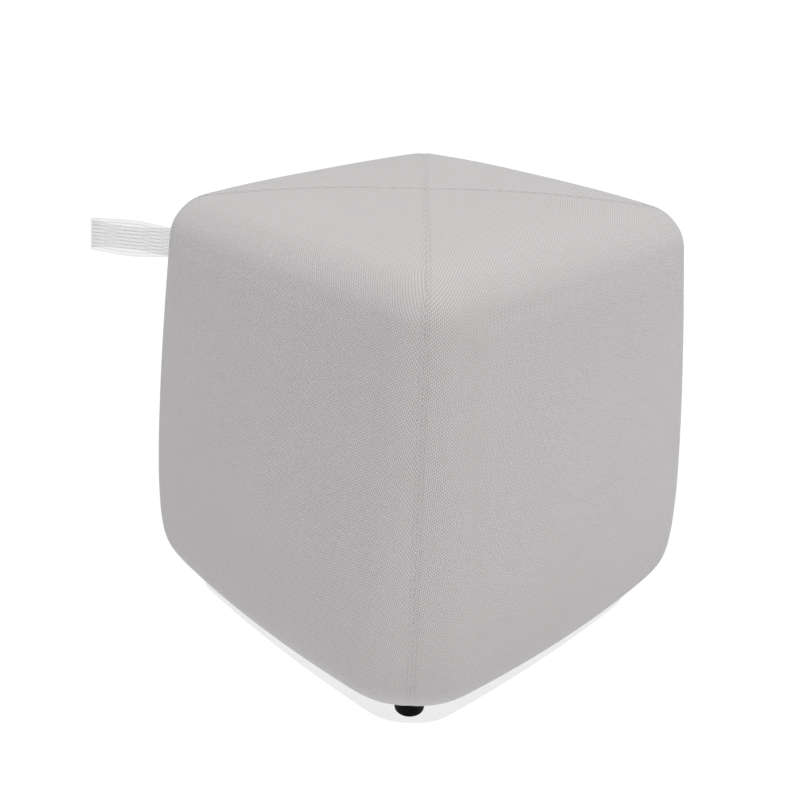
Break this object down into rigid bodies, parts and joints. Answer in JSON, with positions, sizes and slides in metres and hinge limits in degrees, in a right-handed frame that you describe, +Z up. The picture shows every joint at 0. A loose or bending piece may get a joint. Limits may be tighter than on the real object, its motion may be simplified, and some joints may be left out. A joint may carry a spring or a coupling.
{
  "type": "cube pouf stool",
  "caption": "Soft cube pouf stool with a crowned top, sides that swell low down, a webbing pull loop at one upper corner, a low sheer base skirt and round glides.",
  "frame": {"origin": "on the floor, on the pouf's upright axis, in the middle of the four glides", "axes": "+Z up; the panels face -Y (front), +X (right), +Y (back) and -X (left); the pull loop points out from the corner between -X and -Y"},
  "size_m": [0.4618, 0.4618, 0.4429],
  "materials": {
    "cover_cloth": "matt light grey plain-woven upholstery cloth",
    "loop_webbing": "pale ribbed see-through webbing with a slight sheen",
    "skirt_cloth": "clear, faintly smoky sheer cloth",
    "glide_plastic": "black moulded plastic"
  },
  "bodies": {
    "root": {"panel_front": "cover_cloth", "panel_right": "cover_cloth", "panel_back": "cover_cloth", "panel_left": "cover_cloth", "strap_loop": "loop_webbing", "base_skirt_front": "skirt_cloth", "base_skirt_right": "skirt_cloth", "base_skirt_back": "skirt_cloth", "base_skirt_left": "skirt_cloth", "glide_front_right": "glide_plastic", "glide_back_right": "glide_plastic", "glide_back_left": "glide_plastic", "glide_front_left": "glide_plastic"}
  },
  "joints": []
}
